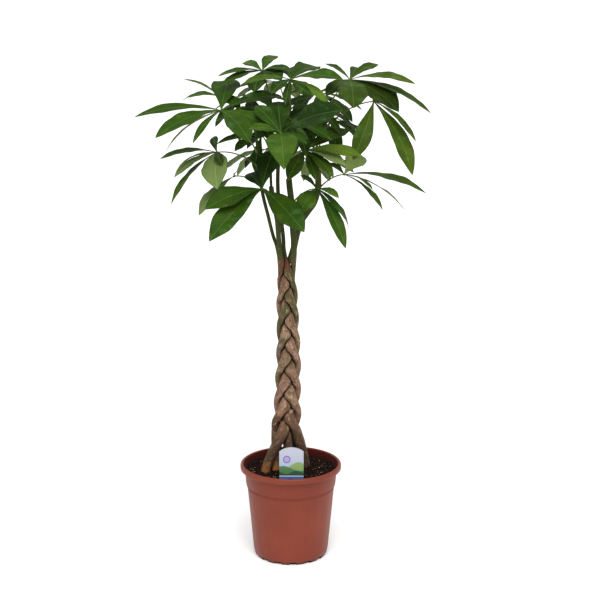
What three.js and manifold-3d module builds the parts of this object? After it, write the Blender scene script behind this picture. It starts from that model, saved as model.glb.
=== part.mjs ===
// A braided money tree in a plastic nursery pot, 1.18 m tall. Millimetres, +Z up, the front towards -Y,
// with the origin under the middle of the pot. Five stems stand in the soil, are plaited together, part
// above the plait and carry palmate leaves on long stalks.
import * as THREE from "three";
import { mergeVertices } from "three/addons/utils/BufferGeometryUtils.js";
import Module from "manifold-3d";

const wasm = await Module();
wasm.setup();

const clearance = 0.35; // between pieces that touch

// The pot: a moulded nursery pot, 240 mm across its rim, on a notched foot and a flat pad.
const pot = {
  rimTop: 226,
  rimRadius: 120,
  rimFoot: 213,
  collarRadius: 109.5,
  collarFoot: 172,
  collarFootRadius: 106.5,
  bodyTopRadius: 103,
  cornerHeight: 16,
  cornerRadius: 89.5,
  footRadius: 85,
  footWidth: 5,
  floorHeight: 7,
  wall: 2.2,
  padRadius: 30,
  lip: 3, // rounding of the rim, and height of the steps under the collar and the rim
  facets: 30,
};
const notch = { count: 15, length: 16, height: 5, first: -86.6 }; // in the foot ring
const ballast = { level: 203, mound: 6, rings: 3, facets: 30, grain: 2.4 }; // the soil in the pot

// The plant label that stands in the soil in front of the stems.
const label = {
  width: 57,
  shoulder: 77,
  height: 87,
  bulge: 0.55, // fullness of the arched top
  slant: 8, // height in which the card narrows to its stake
  stake: 12,
  depth: 24,
  thick: 0.9,
  lean: 10,
  sunk: 6, // depth of the card's own foot in the soil
  x: 2,
  y: -69,
};

// The plait: in plan each stem runs along a figure of eight, a fifth of it after its neighbour, and is past
// the middle by the lead, in degrees, before it goes in. Straight makes it cross the front evenly.
const plait = { pitch: 293, start: 655, lead: 30, straight: 0.1, bottom: 310, top: 690, step: 15 };
const plaitAxis = [[289, -8], [319, -10], [381, -7.5], [479, -4.8], [527, -5.4], [623, -7.5], [694, -9]];
const plaitWidth = [[289, 24.6], [319, 21.1], [381, 17.4], [479, 15.8], [560, 13.6], [623, 13.4], [694, 9.6]];
const plaitDepth = [[319, 16.5], [381, 15], [527, 13.5], [623, 12.5], [694, 10]];
const girth = [[143, 9.5], [211, 11], [289, 13], [381, 13.2], [527, 12.4], [623, 11.4], [694, 10]];
const taper = 60; // height above the plait in which a stem takes its own radius
const stemSides = 8;
const slantLimit = 0.55; // least sine of the angle between a section and the run of its stem
const linePoints = 600;
const pressedGap = 0.4; // from a stem's side to the border between it and its neighbour
const favour = 0.35; // how far the border gives way to the outer one of two stems
const pressedLeast = 2; // that both of them keep

// Sections of a stem.
const levels = {
  plait: 9, // from one to the next in the plait
  above: 34, // from one to the next over it
  overlap: 70, // height over the plait up to which they stay close
  buried: 4, // depth of the highest one in the soil
  clear: 8, // the first one's height over the soil, and the last one's distance from a tip
  cut: 2, // from a cut top to the ones on either side of it
  run: 4, // distance over and under a section, between which the slant is taken
  pressed: [-0.5, -0.25, 0, 0.25, 0.5], // where neighbours are looked for, in steps of the plait
};

// Stems: turn in the plait, foot in the soil, radius above the plait, height of the cut top, from which a thin
// shoot goes on, and the way above the plait in [right, away, up].
const shootRadius = 3.4;
const soilDepth = 60;
const stems = [
  {
    turn: 0,
    foot: [35, 28],
    radius: 4.3,
    cut: 960,
    way: [
      [-31, 4, 748], [-40, 0, 776], [-51, -6, 823], [-62, -8, 869],
      [-71, -6, 926], [-75, -4, 982], [-78, -4, 1030],
    ],
  },
  {
    turn: 4,
    foot: [-5, 10],
    radius: 6,
    cut: 892,
    way: [
      [-24, -12, 735], [-27, -18, 776], [-30, -22, 816], [-42, -24, 880],
      [-44, -16, 940], [-42, -4, 1010], [-44, 4, 1090],
    ],
  },
  {
    turn: 1,
    foot: [16, 48],
    radius: 4.8,
    cut: 985,
    way: [
      [-15, 2, 735], [-16, 8, 764], [-20, 18, 799], [-29, 34, 880],
      [-26, 52, 960], [-14, 66, 1040], [-8, 72, 1080],
    ],
  },
  {
    turn: 2,
    foot: [-59, -6],
    radius: 7.4,
    cut: 908,
    way: [
      [7, -8, 735], [8, -14, 764], [6, -16, 792], [2, -14, 858],
      [-3, -8, 908], [-2, 6, 980], [0, 10, 1085],
    ],
  },
  {
    turn: 3,
    foot: [-35, 2],
    radius: 7.5,
    cut: 925,
    way: [
      [8, 12, 745], [15, 14, 776], [25, 15, 806], [40, 13, 829],
      [54, 11, 850], [63, 8, 884], [63, 6, 921], [60, 6, 980],
      [72, 6, 1050],
    ],
  },
];

// Leaves. from: the stem and the height where the stalk starts; hub: where the leaflets meet, in [right, away,
// up]; face: how far the leaf tips over and towards which heading, 0 being right and 90 away, in degrees.
// leaflets: [right, up, length, roll, width], where a negative length points away from the front, roll turns
// the blade about its rib and width is a factor. fan: [count, length, droop] of leaflets placed by rule.
const leaves = [
  {
    name: "leaf_left_high",
    from: [0, 965],
    hub: [-152, -60, 1067],
    face: [30, 262],
    leaflets: [
      [-184, -8, 194, 0, 0.55],
      [-136, -48, 178, 0, 0.95],
      [-115, -78, 170, 60, 0.35],
      [-56, -60, 130, 0, 0.45],
      [67, -56, 142, 0, 1.35],
      [128, -42, 152, 0, 1.1],
      [134, 26, -150],
      [12, 58, -128, 0, 1.9],
    ],
  },
  {
    name: "leaf_left_back",
    from: [0, 1010],
    hub: [-160, 30, 1090],
    face: [24, 240],
    leaflets: [
      [-90, -16, -120, 0, 0.8],
      [-76, 42, 100, 40, 0.35],
      [40, 24, -95, 0, 1.2],
      [50, -20, 100],
    ],
  },
  {
    name: "leaf_top_left",
    from: [1, 1075],
    hub: [-63, 20, 1148],
    face: [26, 250],
    leaflets: [
      [-97, -9, 105, 0, 0.7],
      [-89, -29, 105],
      [-45, 14, -80, 0, 1.2],
      [28, 30, -75, 0, 1.5],
      [-17, -44, 62, 0, 2.6],
      [44, -16, 82, 0, 1.6],
      [64, 6, 86, 0, 0.8],
    ],
  },
  {
    name: "leaf_top_middle",
    from: [3, 1070],
    hub: [2, -45, 1134],
    face: [24, 262],
    leaflets: [
      [-104, -6, 112, 0, 0.9],
      [-42, -26, 80, 0, 1.4],
      [-12, -50, 80, 0, 0.8],
      [47, -28, 85, 60],
      [84, -50, 118, 0, 0.75],
      [113, 4, 125, 0, 1.2],
      [58, 22, -105, 0, 1.7],
      [-10, 18, -82, 0, 1.8],
    ],
  },
  {
    name: "leaf_right_high",
    from: [4, 1035],
    hub: [133, -10, 1131],
    face: [24, 285],
    leaflets: [
      [177, -69, 198, -10, 0.65],
      [140, -4, 156, 0, 0.8],
      [112, -50, 140, 0, 1.9],
      [5, -52, 128, 0, 2],
      [-45, -30, 95, 0, 1.3],
      [-54, 31, -85, 0, 0.7],
      [22, 20, -95],
      [67, 29, -98],
    ],
  },
  {
    name: "leaf_right_side",
    from: [4, 1000],
    hub: [184, -70, 1088],
    face: [44, 300],
    leaflets: [
      [82, -152, 188, 0, 0.9],
      [-47, -120, 146, 0, 1],
      [95, -65, 138, -10, 0.55],
      [24, 20, -65],
      [-26, 29, -90],
    ],
  },
  {
    name: "leaf_front",
    from: [1, 1060],
    hub: [-19, -150, 1027],
    face: [38, 268],
    leaflets: [
      [8, -57, 166, 0, 1.85],
      [130, 54, 152, 0, 1.8],
      [46, -13, 90],
      [-66, 16, 90, 0, 1.2],
      [-8, 60, -106, 0, 1.9],
      [-52, 42, -100, 0, 1.4],
    ],
  },
  {
    name: "leaf_left_side",
    from: [0, 935],
    hub: [-164, -40, 972],
    face: [34, 230],
    leaflets: [
      [-121, -7, 135, 0, 0.7],
      [-9, 29, -65, 0, 1.1],
      [-80, -22, 108, 40, 0.4],
      [-90, -46, 122, 0, 0.9],
      [-97, -104, 162, 12, 0.6],
      [6, -68, 118, 0, 2],
      [15, -20, 72],
    ],
  },
  {
    name: "leaf_left_young",
    from: [0, 890],
    hub: [-126, -30, 917],
    face: [30, 230],
    leaflets: [
      [-76, -78, 128, 0, 1.1],
      [8, 14, 32],
    ],
  },
  {
    name: "leaf_left_low",
    from: [1, 860],
    hub: [-62, -90, 897],
    face: [40, 262],
    leaflets: [
      [-121, -32, 150, 0, 1.4],
      [-111, -96, 186, 0, 1.15],
      [93, -77, 162, 0, 1.75],
      [-33, 23, -90, 0, 1.4],
      [18, 67, -112, 0, 1.8],
    ],
  },
  {
    name: "leaf_left_inner",
    from: [1, 960],
    hub: [-66, 46, 1000],
    face: [30, 250],
    leaflets: [
      [-99, -14, 108, 0, 0.7],
      [-62, -20, 84, 0, 1.3],
      [-40, 22, -90],
      [30, 30, -95],
      [50, -20, 90],
      [-10, -50, 95],
    ],
  },
  {
    name: "leaf_middle_right",
    from: [3, 940],
    hub: [33, -80, 981],
    face: [36, 280],
    leaflets: [
      [132, -4, 146, 0, 0.9],
      [88, -23, 122, 0, 0.9],
      [64, -34, 116, 0, 0.9],
      [24, -58, 85],
      [-37, -54, 106, 0, 1.2],
      [100, 38, -122],
      [60, 20, -92],
    ],
  },
  {
    name: "leaf_right_middle",
    from: [4, 880],
    hub: [122, -10, 918],
    face: [34, 300],
    leaflets: [
      [181, -34, 193, -14, 0.75],
      [131, -66, 170, -36, 0.5],
      [84, -70, 130, -20, 0.7],
      [61, -24, 96, -20, 0.7],
      [40, 36, -92, 0, 2],
      [-43, 15, -80, 0, 1.4],
    ],
  },
  {
    name: "leaf_right_low",
    from: [3, 850],
    hub: [60, -70, 894],
    face: [40, 285],
    leaflets: [
      [62, -119, 156, 0, 0.75],
      [57, -50, 102, 0, 0.5],
      [46, -8, 90, 0, 0.9],
      [-40, -42, 96, 0, 1.6],
      [-37, 21, -78, 0, 0.7],
      [74, -104, -152, 0, 0.5],
    ],
  },
  { name: "leaf_back_left", from: [0, 990], hub: [-95, 95, 1082], face: [14, 250], fan: [6, 112, 16] },
  { name: "leaf_back_high", from: [2, 1060], hub: [-30, 130, 1115], face: [14, 100], fan: [7, 120, 15] },
  { name: "leaf_back_right", from: [2, 1040], hub: [62, 110, 1090], face: [14, 280], fan: [7, 120, 18] },
  { name: "leaf_back_middle", from: [2, 1000], hub: [-10, 150, 1030], face: [16, 260], fan: [7, 135, 22] },
  { name: "leaf_back_low", from: [2, 930], hub: [-55, 120, 960], face: [24, 120], fan: [6, 115, 26] },
  { name: "leaf_back_side", from: [4, 960], hub: [95, 90, 1030], face: [18, 300], fan: [6, 115, 24] },
  { name: "leaf_back_inner", from: [4, 890], hub: [55, 95, 950], face: [26, 80], fan: [6, 110, 26] },
  { name: "leaf_inner_high", from: [3, 1040], hub: [52, 10, 1068], face: [20, 300], fan: [6, 105, 20] },
  { name: "leaf_inner_left", from: [1, 1010], hub: [-70, -30, 1062], face: [24, 262], fan: [6, 105, 18] },
  { name: "leaf_inner_middle", from: [3, 985], hub: [10, -60, 1040], face: [26, 268], fan: [6, 100, 20] },
];

const leaflet = {
  stations: [0.01, 0.2, 0.45, 0.75, 1],
  free: 0.2, // share of the length past which leaflets of one leaf keep apart
  widthShare: 0.25, // of the length
  rootHalf: 1.2,
  tipHalf: 0.5,
  thick: 1.4, // at the rib; the margins are thin
  fold: 0.16, // rise of the margins over the rib, as a share of the half width
  arch: 0.09, // rise of the rib's middle over its chord, as a share of the length
  rise: 1.55, // shape of the outline towards the root
  fall: 0.9, // shape of the outline towards the tip
};
const stalk = { radius: 1.6, foot: 2.1, sides: 4, steps: 5, lift: 0.22, hub: 4.6 };

// Leaflets placed by rule: the spread of a fan in degrees, how much shorter its outermost ones are, and the
// ranges that are drawn from.
const fanned = {
  spread: 300,
  shorter: 0.33,
  turn: [-7, 7],
  size: [0.9, 1.1],
  droop: [0.7, 1.3],
  roll: [-8, 8],
  width: [0.9, 1.2],
};

// What would cross another piece is bent clear of it: leaflets turn about the hub, stalks bow to a side.
const room = 1.2; // free space that a leaflet or a stalk keeps
const bends = [0, -7, 7, -14, 14, -21, 21, -28, 28, -35, 35];
const shortenings = [1, 0.8, 0.6];
const firstSeed = 11; // of the first leaf; the next leaf has the next
const bows = [0, 12, -12, 24, -24, 36, -36, 48, -48];

const materials = {
  bark: new THREE.MeshStandardMaterial({ color: 0x7a5b48, roughness: 0.8 }),
  leaf: new THREE.MeshStandardMaterial({ color: 0x2f6a22, roughness: 0.45 }),
  plastic: new THREE.MeshStandardMaterial({ color: 0x9a4a38, roughness: 0.5 }),
  earth: new THREE.MeshStandardMaterial({ color: 0x2a1d16, roughness: 1 }),
  card: new THREE.MeshStandardMaterial({ color: 0xc9cbd8, roughness: 0.5 }),
};

const vector = (x, y, z) => new THREE.Vector3(x, y, z);
const mix = THREE.MathUtils.lerp;
const radians = THREE.MathUtils.degToRad;
const up = vector(0, 0, 1);

// The same draws in every run.
function seeded(seed) {
  let state = seed;
  return () => {
    state = (state * 16807) % 2147483647;
    return state / 2147483647;
  };
}

// A value read off rows of [place, value], straight between them.
function along(rows, place) {
  let [lastPlace, lastValue] = rows[0];
  if (place <= lastPlace) return lastValue;
  for (const [nextPlace, nextValue] of rows) {
    if (place < nextPlace) return mix(lastValue, nextValue, (place - lastPlace) / (nextPlace - lastPlace));
    [lastPlace, lastValue] = [nextPlace, nextValue];
  }
  return lastValue;
}

function solidOf(geometry) {
  const bare = geometry.clone();
  bare.deleteAttribute("normal");
  bare.deleteAttribute("uv");
  const merged = mergeVertices(bare, 1e-3);
  const { array } = merged.attributes.position;
  const triVerts = new Uint32Array(merged.index.array);
  return new wasm.Manifold(new wasm.Mesh({ numProp: 3, vertProperties: array, triVerts }));
}

function geometryOf(solid) {
  const mesh = solid.getMesh();
  const geometry = new THREE.BufferGeometry();
  geometry.setAttribute("position", new THREE.BufferAttribute(mesh.vertProperties, 3));
  geometry.setIndex(new THREE.BufferAttribute(mesh.triVerts, 1));
  geometry.computeVertexNormals();
  return geometry;
}

const unionOf = (solids) => wasm.Manifold.union(solids);
const largestBody = (solid) => solid.decompose().sort((a, b) => b.volume() - a.volume())[0];

// A closed skin over rings of points, with flat ends. Four-cornered faces are split along opposite diagonals
// in the two halves of a ring, so that the upper and the lower face of a thin blade split alike.
function skin(rings) {
  const count = rings[0].length;
  const index = [];
  for (let start = 0; start < (rings.length - 1) * count; start += count)
    for (let j = 0; j < count; j++) {
      const [a, b] = [start + j, start + ((j + 1) % count)];
      const [c, d] = [a + count, b + count];
      if (j < count / 2) index.push(a, b, d, a, d, c);
      else index.push(a, b, c, b, d, c);
    }
  const last = (rings.length - 1) * count;
  for (let j = 1; j + 1 < count; j++) index.push(0, j + 1, j, last, last + j, last + j + 1);
  const geometry = new THREE.BufferGeometry();
  const position = rings.flat().flatMap((p) => p.toArray());
  geometry.setAttribute("position", new THREE.Float32BufferAttribute(position, 3));
  geometry.setIndex(index);
  return geometry;
}

// Stems

function plaitPoint(turn, z) {
  const t = 2 * Math.PI * ((plait.start - z) / plait.pitch + turn / stems.length);
  const swing = Math.sin(t) - plait.straight * Math.sin(3 * t);
  const right = along(plaitAxis, z) + along(plaitWidth, z) * swing;
  return vector(right, -along(plaitDepth, z) * Math.sin(2 * t + radians(plait.lead)), z);
}

// A stem's middle line, foot to tip.
function stemLine({ turn, foot, way }) {
  const points = [-soilDepth, -soilDepth / 3, levels.clear].map((z) => vector(...foot, ballast.level + z));
  for (let z = plait.bottom; z <= plait.top; z += plait.step) points.push(plaitPoint(turn, z));
  way.forEach((p) => points.push(vector(...p)));
  return new THREE.CatmullRomCurve3(points, false, "centripetal").getPoints(linePoints);
}

const lines = stems.map(stemLine);

function linePoint(line, z) {
  const next = line.findIndex((p) => p.z > z);
  if (next < 1) return (next < 0 ? line.at(-1) : line[0]).clone().setZ(z);
  const [a, b] = [line[next - 1], line[next]];
  return a.clone().lerp(b, (z - a.z) / (b.z - a.z));
}

function stemRadius(own, z) {
  const { radius, cut } = stems[own];
  if (z > cut) return shootRadius;
  const share = THREE.MathUtils.clamp((z - plait.top) / taper, 0, 1);
  return mix(along(girth, z), radius, share);
}

// A section of a stem at a level: round, drawn out along its slant, and pressed flat against its neighbours,
// where they are at the level and shortly above and below it. The one nearer the front or the back keeps more.
function stemSection(own, z, pad) {
  const line = lines[own];
  const centre = linePoint(line, z);
  const run = linePoint(line, z + levels.run).sub(linePoint(line, z - levels.run)).normalize();
  const borders = levels.pressed.flatMap((share) => {
    const level = z + share * levels.plait;
    const here = linePoint(line, level);
    return lines
      .filter((other) => other !== line && level < other.at(-1).z)
      .map((other) => {
        const there = linePoint(other, level);
        const to = there.clone().sub(here);
        const half = to.length() / 2 - pressedGap;
        const most = Math.max(0, half - pressedLeast);
        const lean = favour * (Math.abs(here.y) - Math.abs(there.y));
        const border = half + THREE.MathUtils.clamp(lean, -most, most);
        to.normalize();
        return { to, free: border - centre.clone().sub(here).setZ(0).dot(to) };
      });
  });
  return Array.from({ length: stemSides }, (_, j) => {
    const ray = vector(1, 0, 0).applyAxisAngle(up, (2 * Math.PI * j) / stemSides);
    let reach = stemRadius(own, z) / Math.sqrt(Math.max(slantLimit, 1 - ray.dot(run) ** 2));
    for (const { to, free } of borders) {
      const facing = ray.dot(to);
      if (facing > 0.01) reach = Math.min(reach, Math.max(0.5, free / facing));
    }
    return ray.multiplyScalar(reach + pad).add(centre);
  });
}

function stemSolid(own, pad = 0) {
  const { cut } = stems[own];
  const foot = lines[own][0].z;
  const tip = lines[own].at(-1).z;
  const closeTop = plait.top + levels.overlap;
  const heights = [foot - pad, ballast.level - levels.buried];
  for (let z = ballast.level + levels.clear; z < closeTop; z += levels.plait) heights.push(z);
  for (let z = closeTop; z < tip - levels.clear; z += levels.above) heights.push(z);
  heights.push(cut - levels.cut, cut + levels.cut, tip);
  heights.sort((a, b) => a - b);
  return solidOf(skin(heights.map((z) => stemSection(own, z, pad))));
}

// Leaves

// The outline of a leaflet: half of its width at a share of its length.
function halfWidth(share, length, width) {
  const { rise, fall, rootHalf, tipHalf, widthShare } = leaflet;
  const swell = Math.sin(Math.PI * share ** rise) ** fall || 0;
  return mix(rootHalf, tipHalf, share) + (swell * widthShare * length * width) / 2;
}

// A leaflet's blade, from the hub to its tip, with its upper face towards face.
function blade(hub, reach, face, roll, width, pad = 0, from = 0) {
  const length = reach.length();
  const ahead = reach.clone().normalize();
  const top = face.clone().addScaledVector(ahead, -face.dot(ahead)).normalize();
  top.applyAxisAngle(ahead, radians(roll));
  const across = top.clone().cross(ahead);
  const rings = leaflet.stations.filter((share) => share >= from).map((share) => {
    const half = halfWidth(share, length, width) + pad;
    const bow = leaflet.arch * length * 4 * share * (1 - share);
    const rib = hub.clone().addScaledVector(reach, share).addScaledVector(top, bow);
    const edge = (sign) =>
      rib.clone().addScaledVector(across, sign * half).addScaledVector(top, leaflet.fold * half);
    const skinAt = (sign) => rib.clone().addScaledVector(top, sign * (leaflet.thick / 2 + pad));
    return [edge(1), skinAt(1), edge(-1), skinAt(-1)];
  });
  return solidOf(skin(rings));
}

function faceOf([tilt, heading]) {
  const toward = vector(1, 0, 0).applyAxisAngle(up, radians(heading));
  return up.clone().multiplyScalar(Math.cos(radians(tilt))).addScaledVector(toward, Math.sin(radians(tilt)));
}

// Leaflets of a leaf as [reach, roll, width], from its table or from its fan.
function leafletsOf(leaf, seed) {
  if (leaf.leaflets)
    return leaf.leaflets.map(([right, rise, length, roll = 0, width = 1]) => {
      const away = -Math.sign(length) * Math.sqrt(Math.max(0, length ** 2 - right ** 2 - rise ** 2));
      return [vector(right, away, rise), roll, width];
    });
  const draw = seeded(seed);
  const between = ([low, high]) => mix(low, high, draw());
  const [count, length, droop] = leaf.fan;
  const face = faceOf(leaf.face);
  const first = vector(0, 0, -1).addScaledVector(face, face.z).normalize();
  return Array.from({ length: count }, (_, i) => {
    const turn = ((i - (count - 1) / 2) * fanned.spread) / count + between(fanned.turn);
    const size = length * (1 - fanned.shorter * (turn / 180) ** 2) * between(fanned.size);
    const ahead = first.clone().applyAxisAngle(face, radians(turn));
    ahead.z -= Math.sin(radians(droop)) * between(fanned.droop);
    return [ahead.normalize().multiplyScalar(size), between(fanned.roll), between(fanned.width)];
  });
}

// A leaf's stalk, from the middle of its stem to the hub, with its own bow to a side.
function stalkSolid(leaf, bow, pad = 0) {
  const [own, height] = leaf.from;
  const root = linePoint(lines[own], height);
  const hub = vector(...leaf.hub);
  const span = hub.clone().sub(root);
  const aside = vector(-span.y, span.x, 0).normalize();
  const middle = root.clone().add(hub).multiplyScalar(0.5);
  middle.addScaledVector(up, stalk.lift * span.length()).addScaledVector(aside, bow);
  const curve = new THREE.QuadraticBezierCurve3(root, middle, hub);
  const rings = [];
  for (let i = 0; i <= stalk.steps; i++) {
    const share = i / stalk.steps;
    const ahead = curve.getTangent(share);
    const across = vector(-ahead.y, ahead.x, 0).normalize();
    const top = ahead.clone().cross(across);
    const radius = mix(stalk.foot, stalk.radius, share) + pad;
    rings.push(
      Array.from({ length: stalk.sides }, (_, j) => {
        const angle = (2 * Math.PI * j) / stalk.sides;
        const rim = curve.getPoint(share).addScaledVector(across, radius * Math.cos(angle));
        return rim.addScaledVector(top, radius * Math.sin(angle));
      }),
    );
  }
  return solidOf(skin(rings));
}

const clears = (solid, others) => solid.intersect(others).isEmpty();

// Every stalk first, each clear of the stems that don't carry it and of the stalks before it.
const paddedStems = stems.map((_, own) => stemSolid(own, clearance));
const stemSolids = stems.map((_, own) => stemSolid(own));
const stalks = [];
for (const leaf of leaves) {
  const others = unionOf([...stemSolids.filter((_, own) => own !== leaf.from[0]), ...stalks]);
  const bow = bows.find((sideways) => clears(stalkSolid(leaf, sideways, room), others));
  stalks.push(stalkSolid(leaf, bow));
}

// Ways to turn a leaflet, the least first: [lift, swing, share of its length].
const bendings = shortenings.flatMap((share) =>
  bends
    .flatMap((lift) => bends.map((swing) => [lift, swing, share]))
    .sort((a, b) => a[0] ** 2 + a[1] ** 2 - b[0] ** 2 - b[1] ** 2),
);

function bent(reach, [lift, swing, share]) {
  const level = vector(-reach.y, reach.x, 0).normalize();
  const turned = reach.clone().applyAxisAngle(level, radians(-lift)).applyAxisAngle(up, radians(swing));
  return turned.multiplyScalar(share);
}

// A leaf is its stalk, a small hub and its leaflets, each with the least bending that is clear of the stems, of
// the other stalks, of the leaves before it and, past the free share, of the leaf's own leaflets.
const placed = [];
const leafSolids = leaves.map((leaf, number) => {
  const hub = vector(...leaf.hub);
  const face = faceOf(leaf.face);
  const others = unionOf([...stemSolids, ...stalks.filter((_, i) => i !== number), ...placed]);
  const blades = [];
  const outerParts = [];
  for (const [reach, roll, width] of leafletsOf(leaf, firstSeed + number)) {
    const bending = bendings.find((turns) => {
      const shape = [hub, bent(reach, turns), face, roll, width];
      if (!clears(blade(...shape, room), others)) return false;
      return clears(blade(...shape, room / 2, leaflet.free), unionOf(outerParts));
    });
    if (!bending) continue;
    const shape = [hub, bent(reach, bending), face, roll, width];
    outerParts.push(blade(...shape, room / 2, leaflet.free));
    blades.push(blade(...shape));
  }
  const knob = solidOf(new THREE.OctahedronGeometry(stalk.hub).translate(...leaf.hub));
  placed.push(knob, ...blades);
  return largestBody(unionOf([stalks[number], knob, ...blades]).subtract(paddedStems[leaf.from[0]]));
});

// The pot: a turned shell with a notched foot ring and a pad in the middle of its underside.

function potSolid() {
  const { rimTop, rimRadius, rimFoot, collarRadius, collarFoot, collarFootRadius, bodyTopRadius } = pot;
  const { cornerHeight, cornerRadius, footRadius, footWidth, floorHeight, wall, padRadius, lip, facets } = pot;
  const floorTop = floorHeight + wall;
  const profile = [
    [0, 0],
    [padRadius, 0],
    [padRadius + wall, floorHeight],
    [footRadius - footWidth, floorHeight],
    [footRadius - footWidth, 0],
    [footRadius, 0],
    [cornerRadius, cornerHeight],
    [bodyTopRadius, collarFoot - lip],
    [collarFootRadius, collarFoot],
    [collarRadius, rimFoot - lip],
    [rimRadius - 1, rimFoot],
    [rimRadius, rimTop - lip],
    [rimRadius - lip, rimTop],
    [rimRadius - 2.2 * lip, rimTop - 1],
    [collarRadius - wall, rimFoot - lip],
    [collarFootRadius - wall, collarFoot],
    [bodyTopRadius - wall, collarFoot - lip],
    [cornerRadius - wall, cornerHeight],
    [footRadius - wall, floorTop],
    [0, floorTop],
  ];
  const shell = new THREE.LatheGeometry(profile.map((p) => new THREE.Vector2(...p)), facets);
  const cuts = Array.from({ length: notch.count }, (_, i) => {
    const angle = radians(notch.first + (360 * i) / notch.count);
    const block = new THREE.BoxGeometry(4 * footWidth, notch.length, 2 * notch.height);
    return solidOf(block.translate(footRadius, 0, 0).rotateZ(angle));
  });
  return solidOf(shell.rotateX(Math.PI / 2)).subtract(unionOf(cuts));
}

// The soil fills the pot to a slightly mounded, lumpy top.
function soilSolid() {
  const { level, mound, rings, facets, grain } = ballast;
  const draw = seeded(5);
  const filled = (level - pot.collarFoot) / (pot.rimFoot - pot.lip - pot.collarFoot);
  const wallRadius = [
    [pot.floorHeight + pot.wall + clearance, pot.footRadius - pot.wall - clearance],
    [pot.cornerHeight, pot.cornerRadius - pot.wall - clearance],
    [pot.collarFoot - pot.lip, pot.bodyTopRadius - pot.wall - clearance],
    [pot.collarFoot, pot.collarFootRadius - pot.wall - clearance],
    [level, mix(pot.collarFootRadius, pot.collarRadius, filled) - pot.wall - clearance],
  ];
  const ringOf = (radius, heightAt) =>
    Array.from({ length: facets }, (_, j) => {
      const angle = (2 * Math.PI * j) / facets;
      return vector(radius * Math.cos(angle), radius * Math.sin(angle), heightAt(j));
    });
  const sections = wallRadius.map(([z, radius]) => ringOf(radius * Math.cos(Math.PI / pot.facets), () => z));
  for (let i = 1; i <= rings; i++) {
    const share = 1 - i / (rings + 0.4);
    const height = level + mound * (1 - share ** 2);
    sections.push(ringOf(pot.collarFootRadius * share, () => height + grain * (draw() - 0.5)));
  }
  return solidOf(skin(sections));
}

// The plant label: a card with a round-shouldered top that narrows to a stake.
function labelSolid(pad = 0) {
  const { width, shoulder, height, bulge, slant, stake, depth, thick, lean, sunk, x, y } = label;
  const half = width / 2 + pad;
  const outline = new THREE.Shape();
  outline.moveTo(-half, slant - pad);
  outline.lineTo(-stake / 2 - pad, -pad);
  outline.lineTo(-stake / 2 - pad, -depth - pad);
  outline.lineTo(stake / 2 + pad, -depth - pad);
  outline.lineTo(stake / 2 + pad, -pad);
  outline.lineTo(half, slant - pad);
  outline.lineTo(half, shoulder);
  outline.quadraticCurveTo(half * bulge, height + pad, 0, height + pad);
  outline.quadraticCurveTo(-half * bulge, height + pad, -half, shoulder);
  const extrusion = { depth: thick + 2 * pad, bevelEnabled: false, curveSegments: 5 };
  const card = new THREE.ExtrudeGeometry(outline, extrusion);
  card.translate(0, 0, -thick / 2 - pad).rotateX(Math.PI / 2 - radians(lean));
  return solidOf(card.translate(x, y, ballast.level - sunk));
}

const object = new THREE.Group();

function addMesh(name, solid, material) {
  const mesh = new THREE.Mesh(geometryOf(solid), material);
  mesh.name = name;
  object.add(mesh);
}

const planted = unionOf([...paddedStems, labelSolid(clearance)]);
addMesh("pot", potSolid(), materials.plastic);
addMesh("soil", soilSolid().subtract(planted), materials.earth);
addMesh("plant_label", labelSolid(), materials.card);
stemSolids.forEach((solid, i) => addMesh(`stem_${i + 1}`, solid, materials.bark));
leaves.forEach((leaf, i) => addMesh(leaf.name, leafSolids[i], materials.leaf));

export default object;
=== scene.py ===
# The looks of a braided money tree in a plastic nursery pot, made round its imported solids. The front is
# towards -Y and +Z is up. Shapes are in millimetres until they become meshes; materials are in metres.
from collections import namedtuple
from itertools import product
from math import copysign, cos, degrees, exp, pi, radians, sin, sqrt
from types import SimpleNamespace as Sizes

import bmesh
import bpy
import numpy as np
from mathutils import Euler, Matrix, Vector, noise
from mathutils.bvhtree import BVHTree
from mathutils.kdtree import KDTree


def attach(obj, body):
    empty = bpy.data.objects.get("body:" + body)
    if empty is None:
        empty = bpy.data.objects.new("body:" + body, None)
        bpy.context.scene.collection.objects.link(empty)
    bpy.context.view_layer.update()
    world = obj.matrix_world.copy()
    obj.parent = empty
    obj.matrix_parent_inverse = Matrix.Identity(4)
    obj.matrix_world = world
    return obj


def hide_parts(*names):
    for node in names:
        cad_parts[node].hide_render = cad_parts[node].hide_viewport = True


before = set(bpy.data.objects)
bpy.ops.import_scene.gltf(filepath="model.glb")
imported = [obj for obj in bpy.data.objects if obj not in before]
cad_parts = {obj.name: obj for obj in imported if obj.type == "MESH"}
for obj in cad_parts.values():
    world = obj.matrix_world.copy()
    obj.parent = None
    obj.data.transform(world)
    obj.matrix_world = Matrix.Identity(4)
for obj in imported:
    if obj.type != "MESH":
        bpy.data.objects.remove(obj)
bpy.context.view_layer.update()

MM = 0.001
RIGHT, AWAY, UP = np.eye(3)
FAR = 1e9

# The studio, in metres and degrees.
CAMERA = Sizes(place=(0.022, -3.2, 1.374), dip=13.2, lens=85)
SUN = Sizes(power=2.3, width=40, turn=(38, 3, 0))
WORLD_POWER = 0.8
FLOOR_REACH = 120

# The pot's corners, as (outer radius, height).
FOOT = (85, 0)
CORNER = (89.5, 16)
BODY_TOP = (103, 163)
COLLAR_FOOT = (106.5, 172)
COLLAR_TOP = (109.5, 210)
RIM_FOOT = (120, 213)
RIM_TOP = (120, 226)
FOOT_WIDTH = 5
FLOOR_HEIGHT = 7
WALL = 2.2
PAD_RADIUS = 30
NOTCH = Sizes(count=15, length=17, height=6, first=-86.6, bulge=1.4)
SHADE_RING = Sizes(inset=4.5, thick=1.5, sides=90)  # the near-black ring behind the notches, painted shade that shows through them

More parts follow.
